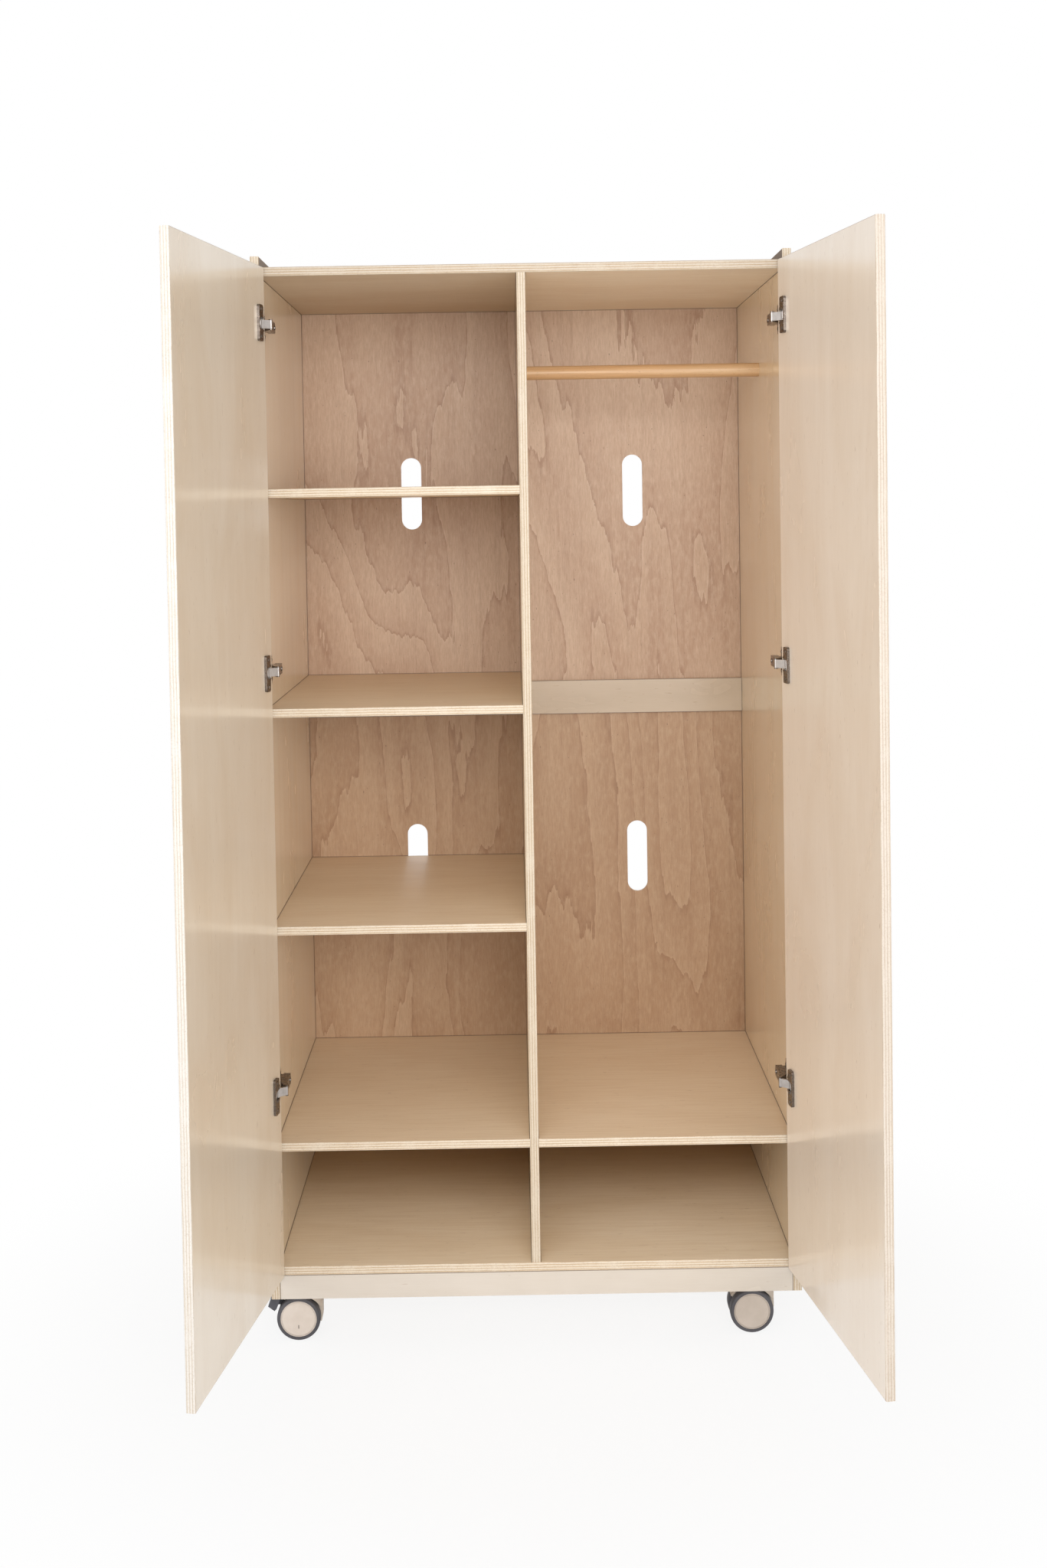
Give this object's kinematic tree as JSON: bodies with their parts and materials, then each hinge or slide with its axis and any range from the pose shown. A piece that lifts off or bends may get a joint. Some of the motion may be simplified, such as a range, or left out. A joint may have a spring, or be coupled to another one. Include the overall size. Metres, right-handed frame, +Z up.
{
  "type": "mobile wardrobe",
  "caption": "Free-standing plywood wardrobe on twin-wheel casters: doors on concealed cup hinges, a divider, shelves on one side, a round hanging rail on the other, slotted back.",
  "frame": {"origin": "On the floor under the object, centred in width and in the depth taken with the doors open as at rest", "axes": "+X to the right as seen from the front, +Y towards the back, +Z up"},
  "size_m": [1.0218, 1.0328, 1.854],
  "materials": {
    "carcass_ply": "satin clear lacquer",
    "door_ply": "satin clear lacquer",
    "rail_ply": "satin clear lacquer",
    "figured_back_ply": "satin clear lacquer",
    "beech_dowel": "satin clear lacquer",
    "batten_softwood": "sawn",
    "nickel_steel": "nickel plated",
    "pin_steel": "bright steel",
    "zinc_steel": "zinc plated",
    "housing_plastic": "moulded",
    "hub_plastic": "moulded",
    "tyre_rubber": "matt tread",
    "pedal_plastic": "moulded"
  },
  "bodies": {
    "carcass": {"left_side_panel": "carcass_ply", "right_side_panel": "carcass_ply", "top_panel": "carcass_ply", "bottom_panel": "carcass_ply", "centre_divider": "carcass_ply", "upper_shelf": "carcass_ply", "middle_shelf": "carcass_ply", "lower_shelf": "carcass_ply", "left_base_shelf": "carcass_ply", "right_base_shelf": "carcass_ply", "front_plinth_rail": "rail_ply", "rear_plinth_rail": "rail_ply", "upper_back_panel": "figured_back_ply", "lower_back_panel": "figured_back_ply", "back_rail": "rail_ply", "hanging_rail": "beech_dowel", "panel_dowels": "beech_dowel", "left_caster_batten": "batten_softwood", "right_caster_batten": "batten_softwood", "hinge_plates": "nickel_steel", "hinge_plate_screws": "nickel_steel", "hinge_arms": "nickel_steel", "hinge_arm_screws": "nickel_steel", "hinge_arm_pins": "pin_steel", "caster_plates": "zinc_steel", "caster_screws": "zinc_steel"},
    "left_hinge_links": {"left_hinge_links": "nickel_steel"},
    "right_hinge_links": {"right_hinge_links": "nickel_steel"},
    "left_door": {"left_door": "door_ply", "left_hinge_cups": "nickel_steel", "left_cup_pins": "pin_steel", "left_cup_screws": "nickel_steel"},
    "right_door": {"right_door": "door_ply", "right_hinge_cups": "nickel_steel", "right_cup_pins": "pin_steel", "right_cup_screws": "nickel_steel"},
    "front_left_caster_swivel": {"front_left_caster_housing": "housing_plastic", "front_left_brake_pin": "pin_steel"},
    "front_right_caster_swivel": {"front_right_caster_housing": "housing_plastic"},
    "rear_left_caster_swivel": {"rear_left_caster_housing": "housing_plastic"},
    "rear_right_caster_swivel": {"rear_right_caster_housing": "housing_plastic", "rear_right_brake_pin": "pin_steel"},
    "front_left_caster_wheels": {"front_left_caster_axle": "pin_steel", "front_left_caster_hubs": "hub_plastic", "front_left_caster_tyres": "tyre_rubber"},
    "front_right_caster_wheels": {"front_right_caster_axle": "pin_steel", "front_right_caster_hubs": "hub_plastic", "front_right_caster_tyres": "tyre_rubber"},
    "rear_left_caster_wheels": {"rear_left_caster_axle": "pin_steel", "rear_left_caster_hubs": "hub_plastic", "rear_left_caster_tyres": "tyre_rubber"},
    "rear_right_caster_wheels": {"rear_right_caster_axle": "pin_steel", "rear_right_caster_hubs": "hub_plastic", "rear_right_caster_tyres": "tyre_rubber"},
    "front_left_brake": {"front_left_brake_pedal": "pedal_plastic"},
    "rear_right_brake": {"rear_right_brake_pedal": "pedal_plastic"}
  },
  "joints": [
    {"name": "left_link_swing", "type": "hinge", "parent": "carcass", "child": "left_hinge_links", "pos_m": [-0.41603, -0.07489, 0.9855], "axis": [0, 0, 1], "range_deg": [-32.36, 0]},
    {"name": "left_door_swing", "type": "hinge", "parent": "left_hinge_links", "child": "left_door", "pos_m": [-0.43209, -0.08686, 0.9855], "axis": [0, 0, 1], "range_deg": [0, 131.34]},
    {"name": "right_link_swing", "type": "hinge", "parent": "carcass", "child": "right_hinge_links", "pos_m": [0.41603, -0.07489, 0.9855], "axis": [0, 0, -1], "range_deg": [-32.36, 0]},
    {"name": "right_door_swing", "type": "hinge", "parent": "right_hinge_links", "child": "right_door", "pos_m": [0.43209, -0.08686, 0.9855], "axis": [0, 0, -1], "range_deg": [0, 131.34]},
    {"name": "front_left_swivel", "type": "hinge", "parent": "carcass", "child": "front_left_caster_swivel", "pos_m": [-0.391, 0.00239, 0.096], "axis": [0, 0, 1], "continuous": true},
    {"name": "front_left_wheel_roll", "type": "hinge", "parent": "front_left_caster_swivel", "child": "front_left_caster_wheels", "pos_m": [-0.411, 0.00239, 0.0375], "axis": [0, 1, 0], "continuous": true},
    {"name": "front_left_brake_press", "type": "hinge", "parent": "front_left_caster_swivel", "child": "front_left_brake", "pos_m": [-0.43106, 0.00239, 0.0614], "axis": [0, -1, 0], "range_deg": [0, 10]},
    {"name": "front_right_swivel", "type": "hinge", "parent": "carcass", "child": "front_right_caster_swivel", "pos_m": [0.391, 0.00239, 0.096], "axis": [0, 0, 1], "continuous": true},
    {"name": "front_right_wheel_roll", "type": "hinge", "parent": "front_right_caster_swivel", "child": "front_right_caster_wheels", "pos_m": [0.371, 0.00239, 0.0375], "axis": [0, 1, 0], "continuous": true},
    {"name": "rear_left_swivel", "type": "hinge", "parent": "carcass", "child": "rear_left_caster_swivel", "pos_m": [-0.391, 0.44439, 0.096], "axis": [0, 0, 1], "continuous": true},
    {"name": "rear_left_wheel_roll", "type": "hinge", "parent": "rear_left_caster_swivel", "child": "rear_left_caster_wheels", "pos_m": [-0.411, 0.44439, 0.0375], "axis": [0, 1, 0], "continuous": true},
    {"name": "rear_right_swivel", "type": "hinge", "parent": "carcass", "child": "rear_right_caster_swivel", "pos_m": [0.391, 0.44439, 0.096], "axis": [0, 0, 1], "continuous": true},
    {"name": "rear_right_wheel_roll", "type": "hinge", "parent": "rear_right_caster_swivel", "child": "rear_right_caster_wheels", "pos_m": [0.371, 0.44439, 0.0375], "axis": [0, 1, 0], "continuous": true},
    {"name": "rear_right_brake_press", "type": "hinge", "parent": "rear_right_caster_swivel", "child": "rear_right_brake", "pos_m": [0.35095, 0.44439, 0.0614], "axis": [0, -1, 0], "range_deg": [0, 10]}
  ],
  "couplings": [
    {"joint": "left_link_swing", "follows": "left_door_swing", "ratio": -0.24621},
    {"joint": "right_link_swing", "follows": "right_door_swing", "ratio": -0.24621}
  ]
}
